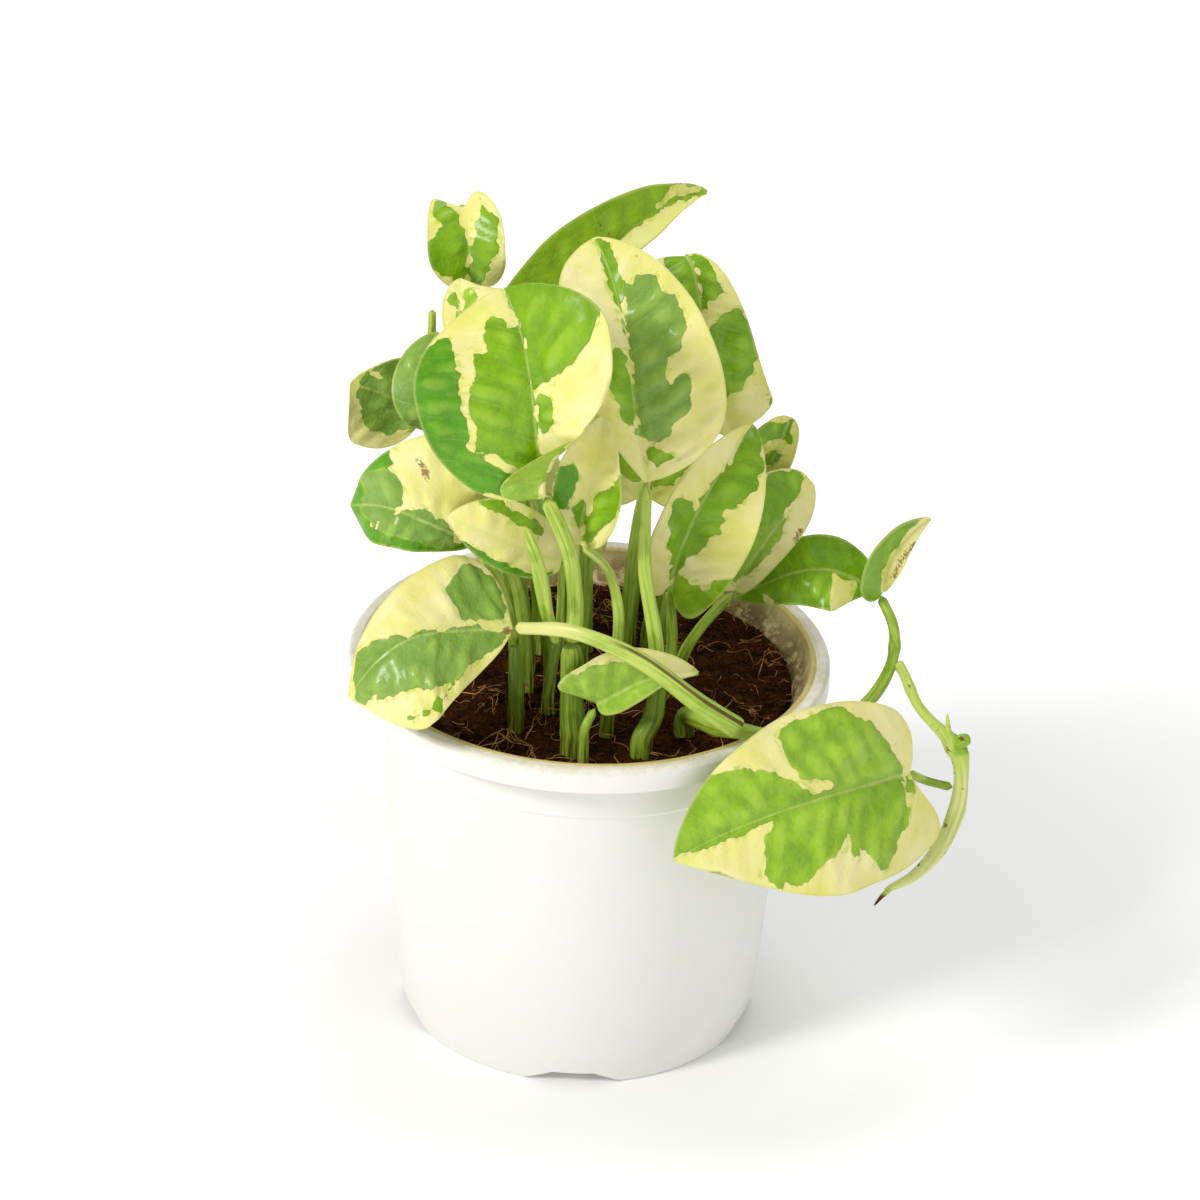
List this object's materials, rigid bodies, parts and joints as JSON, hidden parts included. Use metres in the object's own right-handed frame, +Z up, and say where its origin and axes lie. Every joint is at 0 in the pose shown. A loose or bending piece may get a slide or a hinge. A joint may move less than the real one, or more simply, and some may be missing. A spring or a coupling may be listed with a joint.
{
  "type": "potted plant",
  "caption": "Variegated trailing houseplant with cream and green heart-shaped leaves, rooted in brown coir soil in a plain white tapered plastic pot.",
  "frame": {"origin": "middle of the whole plant's bounding box, on the surface that the pot stands on", "axes": "+Z up, -Y towards the front of the plant as pictured, +X to the right, where the vine hangs over the rim"},
  "size_m": [0.1433, 0.1144, 0.2002],
  "materials": {
    "pot_plastic": "satin",
    "coir_soil": "matte",
    "leaf": "satin",
    "stalk": "satin"
  },
  "bodies": {
    "root": {"back_centre_blade": "leaf", "back_centre_stalk": "stalk", "back_high_blade": "leaf", "back_high_stalk": "stalk", "back_left_blade": "leaf", "back_left_stalk": "stalk", "back_low_blade": "leaf", "back_low_stalk": "stalk", "back_right_blade": "leaf", "back_right_stalk": "stalk", "centre_right_blade": "leaf", "centre_right_stalk": "stalk", "cut_stalk": "stalk", "front_blade": "leaf", "front_left_blade": "leaf", "front_left_stalk": "stalk", "front_stalk": "stalk", "left_back_blade": "leaf", "left_back_stalk": "stalk", "left_edge_blade": "leaf", "left_edge_stalk": "stalk", "left_pale_blade": "leaf", "left_pale_stalk": "stalk", "low_centre_blade": "leaf", "low_centre_stalk": "stalk", "lower_left_blade": "leaf", "lower_left_stalk": "stalk", "narrow_centre_blade": "leaf", "narrow_centre_stalk": "stalk", "pot": "pot_plastic", "right_centre_blade": "leaf", "right_centre_stalk": "stalk", "right_level_blade": "leaf", "right_low_blade": "leaf", "right_low_stalk": "stalk", "right_small_blade": "leaf", "right_small_stalk": "stalk", "right_upper_blade": "leaf", "right_upper_stalk": "stalk", "right_upright_blade": "leaf", "soil": "coir_soil", "stem_centre": "stalk", "stem_left": "stalk", "stem_right": "stalk", "top_arch_blade": "leaf", "top_arch_stalk": "stalk", "top_left_blade": "leaf", "top_left_stalk": "stalk", "trailing_blade": "leaf", "trailing_stalk": "stalk", "under_front_blade": "leaf", "under_front_stalk": "stalk", "vine_hanging": "stalk", "vine_over_rim": "stalk", "young_leaf": "leaf"}
  },
  "joints": []
}
